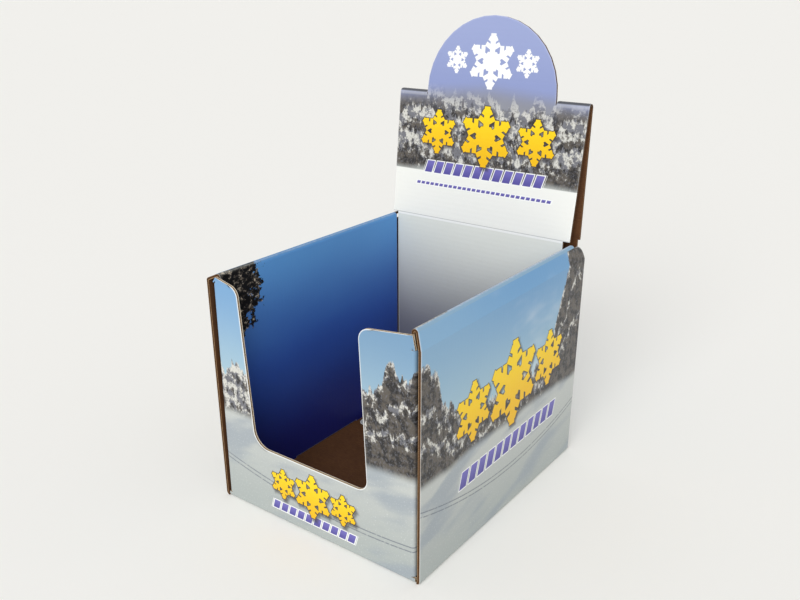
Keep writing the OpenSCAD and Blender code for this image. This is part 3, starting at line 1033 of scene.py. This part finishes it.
def base_panel():
    """Flat floor with a slot for each tab."""
    board = Board()
    slot_x = INNER_HALF + BOARD / 2
    slot_half = BOARD / 2 + EDGE_GAP
    slot_y = TAB_W / 2 + EDGE_GAP
    x_lines = [s * v for s in (-1, 1) for v in (slot_x - slot_half, slot_x + slot_half)]
    y_lines = [s * v for s in (-1, 1) for v in (TAB_OUT - slot_y, TAB_OUT + slot_y)]
    x, y = grid(run(-BASE_HALF, BASE_HALF, *x_lines), run(-BASE_DEEP, BASE_DEEP, *y_lines))
    mid_x = np.abs(x[:-1, :-1] + x[1:, 1:]) / 2
    mid_y = np.abs(y[:-1, :-1] + y[1:, 1:]) / 2
    slots = (np.abs(mid_x - slot_x) < slot_half) & (np.abs(mid_y - TAB_OUT) < slot_y)
    board.flat(Panel((0, 0, 0), X, Y, Z), x, y, keep=~slots)
    joins = [(0, -BASE_HALF), (0, BASE_HALF), (1, -BASE_DEEP), (1, BASE_DEEP)]
    board.build("base_panel", BACK_PRINT, joins, PAINTED_SHADE_EDGES)


def outer_wall(name, side, roll, spread):
    """Outer ply that leans out, and the slanted strip with its rounded ear. The lean and the strip's width
    follow from the roll's lean and the spread. Returns the strip's top crease and the columns across it."""
    score, width = score_height(roll, spread), strip_width(roll, spread)
    lean = math.atan2(spread, score)
    height = score / math.cos(lean)
    rear = SIDE_HALF + height * math.tan(BACK_TILT)
    board = Board()
    start = Panel((side * BASE_HALF, 0, 0), Y, side * X, Z)
    tabs = [s * TAB_OUT + t * TAB_W / 2 for s in (-1, 1) for t in (-1, 1)]
    columns = run(-SIDE_HALF, SIDE_REAR, *tabs)
    y = np.append(columns, SIDE_HALF)
    ply = board.bend(start, y, math.pi / 2 - lean, CREASE_R, y)
    across, up = grid(y, run(0, height))
    across[-1] += up[-1] * math.tan(BACK_TILT)
    board.flat(ply, across, up, across)

    y = np.append(columns, rear)
    strip = board.bend(ply.beyond(height), y, lean + roll, CREASE_R, y)
    corner = min(EAR_R, width - CREASE_R)
    turn = rounding((rear, 0), (rear, width - HAIR), (SIDE_REAR, width - HAIR), corner)
    outline = np.concatenate([[(rear, 0)], turn])
    rise = np.linspace(0, width, len(outline))
    across, up = grid(columns, rise)
    across[0] += (SIDE_HALF - SIDE_FRONT) * rise / width
    board.flat(strip, across, up, across)
    ear_x, ear_y = between(np.stack([across[-1], rise], 1), outline, [0, 1])
    board.flat(strip, ear_x, ear_y, ear_x)
    over = strip.beyond(width)
    joins = [(0, side * BASE_HALF), (2, over.origin[2])]
    board.build(name + "_wall", SIDE_PRINT, joins, PAINTED_SHADE_EDGES)
    return over, across[:, -1]


def wall_lining(name, roll, over, columns):
    """The roll over the top of a side wall, and the inner ply that hangs from it, with two tabs."""
    board = Board()
    ply = board.bend(over, columns, math.pi - roll, CREASE_R, columns)
    drop = WALL_H - BEND_R - BOARD - EDGE_GAP
    across, up = grid(columns, np.concatenate([run(0, drop), [drop + BOARD]]))
    middle = (across[:-1, :-1] + across[1:, 1:]) / 2
    tab = np.abs(np.abs(middle) - TAB_OUT) < TAB_W / 2
    keep = tab | (up[1:, 1:] < drop + BOARD / 2)
    board.flat(ply, across, up, across, keep)
    board.build(name + "_lining", LINING_PRINT, [(2, over.origin[2])], PAINTED_SHADE_EDGES)


def back_panel():
    """Bottom bend, back panel and two flaps. Returns the crease at the foot of the header."""
    board = Board()
    start = Panel((0, BASE_DEEP, 0), X, Y, Z)
    x = run(-PANEL_HALF, PANEL_HALF)
    panel = footed(board, start, x, math.pi / 2 - BACK_TILT)
    tops = {side: score_height(*roll) - EDGE_GAP for _, side, roll in WALLS}
    y = run(0, BACK_LEN, FOOT_H, FLAP_LOW, *tops.values())
    board.flat(panel, *grid(x, y))
    for side, top in tops.items():
        flap(board, panel, side, y[(y > FLAP_LOW - WELD) & (y < top + WELD)])
    foot = panel.beyond(BACK_LEN)
    board.build("back_panel", BACK_PRINT, [(1, BASE_DEEP), (2, foot.origin[2])], PAINTED_SHADE_EDGES)
    return foot


def header_back(foot):
    """The header's back ply, with the hole that the disc leaves. Each half of it is ruled from the hole's
    circle to the outer edge. Returns the crease at the shoulders."""
    board = Board()
    panel = board.bend(foot, run(-PANEL_HALF, PANEL_HALF), BACK_TILT - BACK_LEAN, SOFT_CREASE_R, 0.0)
    x = run(-HEADER_HALF, HEADER_HALF, -PANEL_HALF, 0, PANEL_HALF)
    board.flat(panel, *grid(x, run(0, HOLE_Y - HOLE_R)))
    angle = np.linspace(0, math.pi / 2 - math.asin((HOLE_Y - HEADER_H) / HOLE_R), 4 * ARC_STEPS)
    for side in (-1, 1):
        hole = np.stack([side * HOLE_R * np.sin(angle), HOLE_Y - HOLE_R * np.cos(angle)], 1)
        hole[-1] = side * HOLE_R, HEADER_H
        edge = np.stack([np.full(len(hole), side * HEADER_HALF), hole[:, 1]], 1)
        half = np.sort(np.abs(x[x * side >= 0]))
        board.flat(panel, *between(hole, edge, shares(half)))
    shoulder = panel.beyond(HEADER_H)
    joins = [(2, foot.origin[2]), (2, shoulder.origin[2])]
    board.build("header_back", BACK_PRINT, joins, PAINTED_SHADE_EDGES)
    return shoulder


def header_front(shoulder):
    """The fold over the shoulders, the header's front ply, which narrows on the right towards its foot,
    and the half disc, ruled from its chord to its rim. Returns the crease at the foot."""
    board = Board()
    for side in (-1, 1):
        ends = np.sort(side * run(HOLE_R, HEADER_HALF))
        panel = board.bend(shoulder, ends, SHOULDER_TURN, SHOULDER_R, 0.0)
    x = run(-HEADER_HALF, HEADER_HALF, -HOLE_R, -DISC_R, DISC_R, HOLE_R)
    across, down = grid(x, run(0, FRONT_PLY_LEN))
    across -= FRONT_TAPER * np.maximum(across, 0) / HEADER_HALF * down / FRONT_PLY_LEN
    board.flat(panel, across, down, -down)
    chord_x = x[np.abs(x) < DISC_R + WELD]
    chord = np.stack([chord_x, np.zeros(len(chord_x))], 1)
    angle = np.pi * (1 - shares(chord_x))
    rim = np.stack([DISC_R * np.cos(angle), -DISC_RISE - DISC_R * np.sin(angle)], 1)
    across, down = between(chord, rim, np.linspace(0, 1, DISC_ROWS))
    board.flat(panel, across, down, -down)
    crease = panel.beyond(FRONT_PLY_LEN)
    joins = [(2, shoulder.origin[2]), (2, crease.origin[2])]
    board.build("header_front", HEADER_PRINT, joins, HEADER_PAINTED_SHADE_EDGES)
    return crease


def inner_back(crease):
    """Inner back panel, and the tongue that lies forward on the floor, with rounded corners: its half width
    is less by the rounding's inset near the free end."""
    board = Board()
    x = run(INNER_BACK_LEFT, INNER_BACK_RIGHT, TONGUE_LEFT, TONGUE_RIGHT)
    panel = board.bend(crease, x, FRONT_LEAN, SOFT_CREASE_R, 0.0)
    board.flat(panel, *grid(x, run(0, INNER_BACK_LEN)))
    x = x[(x > TONGUE_LEFT - WELD) & (x < TONGUE_RIGHT + WELD)]
    panel = board.bend(panel.beyond(INNER_BACK_LEN), x, -math.pi / 2, CREASE_R, INNER_BACK_LEN)
    y, inset = rounded_end(TONGUE_LEN, TONGUE_R, TONGUE_ROWS)
    across, forward = grid(x, y)
    middle, half = (TONGUE_LEFT + TONGUE_RIGHT) / 2, (TONGUE_RIGHT - TONGUE_LEFT) / 2
    across = middle + (across - middle) * (1 - inset / half)
    board.flat(panel, across, forward, INNER_BACK_LEN + forward)
    board.build("inner_back", INNER_BACK_PRINT, [(2, crease.origin[2])], PAINTED_SHADE_EDGES)


base_panel()
front_panel()
for wall_name, wall_side, wall_roll in WALLS:
    roll_crease, roll_columns = outer_wall(wall_name, wall_side, *wall_roll)
    wall_lining(wall_name, wall_roll[0], roll_crease, roll_columns)
foot_crease = back_panel()
shoulder_crease = header_back(foot_crease)
inner_crease = header_front(shoulder_crease)
inner_back(inner_crease)

# Floor, light and camera, in metres and radians
BACKGROUND = colour(251, 250, 246)
FLOOR_SIZE = 60.0
AROUND_STRENGTH = 0.58
KEY_FROM = (0.3, -0.8, 0.55)
KEY_STRENGTH = 1.9
KEY_SPREAD = math.radians(50)
CAMERA_PLACE = (0.31459, -0.42823, 0.32960)
CAMERA_AZIMUTH = 0.639203
CAMERA_DROP = 0.360657
CAMERA_ROLL = -0.0039
FOCAL_PIXELS = 864.96
FRAME_WIDTH = 800
SENSOR = 36.0


def floor():
    """A wide level floor in the colour of the background."""
    half = FLOOR_SIZE / 2
    mesh = bpy.data.meshes.new("floor")
    corners = [(-half, -half, 0), (half, -half, 0), (half, half, 0), (-half, half, 0)]
    mesh.from_pydata(corners, [], [(0, 1, 2, 3)])
    p = Paint("floor_paper", Base_Color=BACKGROUND, Roughness=0.9, Specular_IOR_Level=0.1)
    mesh.materials.append(p.material)
    stage = bpy.data.objects.new("floor", mesh)
    bpy.context.scene.collection.objects.link(stage)


def sun(name, direction, strength, spread):
    """A distant soft light that comes from the direction."""
    data = bpy.data.lights.new(name, "SUN")
    data.energy = strength
    data.angle = spread
    lamp = bpy.data.objects.new(name, data)
    z = np.array(direction) / np.linalg.norm(direction)
    x = np.cross(Z, z)
    x /= np.linalg.norm(x)
    lamp.matrix_world = Matrix(np.stack([x, np.cross(z, x), z], 1).tolist()).to_4x4()
    bpy.context.scene.collection.objects.link(lamp)


def world_light(strength):
    """Even light from all round. The camera and glossy rays see the background's own colour."""
    world = bpy.data.worlds.new("studio")
    world.use_nodes = True
    t = Tree(world.node_tree)
    light = t.node("Background", None, {"Color": (1, 1, 1, 1), "Strength": strength})
    shown = t.node("Background", None, {"Color": BACKGROUND})
    seen = t.most(t.node("LightPath", output="Is Camera Ray"), t.node("LightPath", output="Is Glossy Ray"))
    both = t.node("MixShader", None, {0: seen, 1: light, 2: shown})
    t.link(both, world.node_tree.nodes["World Output"].inputs["Surface"])
    bpy.context.scene.world = world


def camera():
    """A camera turned by its roll, then down from the level, then round the upright by its azimuth."""
    data = bpy.data.cameras.new("camera")
    data.sensor_width = SENSOR
    data.sensor_fit = "HORIZONTAL"
    data.lens = FOCAL_PIXELS / FRAME_WIDTH * SENSOR
    data.clip_end = 2 * FLOOR_SIZE
    data.clip_start = 0.01
    eye = bpy.data.objects.new("camera", data)
    level = Matrix.Rotation(CAMERA_AZIMUTH, 4, "Z") @ Matrix.Rotation(math.pi / 2 - CAMERA_DROP, 4, "X")
    eye.matrix_world = Matrix.Translation(CAMERA_PLACE) @ level @ Matrix.Rotation(CAMERA_ROLL, 4, "Z")
    bpy.context.scene.collection.objects.link(eye)
    bpy.context.scene.camera = eye


floor()
world_light(AROUND_STRENGTH)
sun("key", KEY_FROM, KEY_STRENGTH, KEY_SPREAD)
camera()
bpy.context.scene.view_settings.view_transform = "Standard"
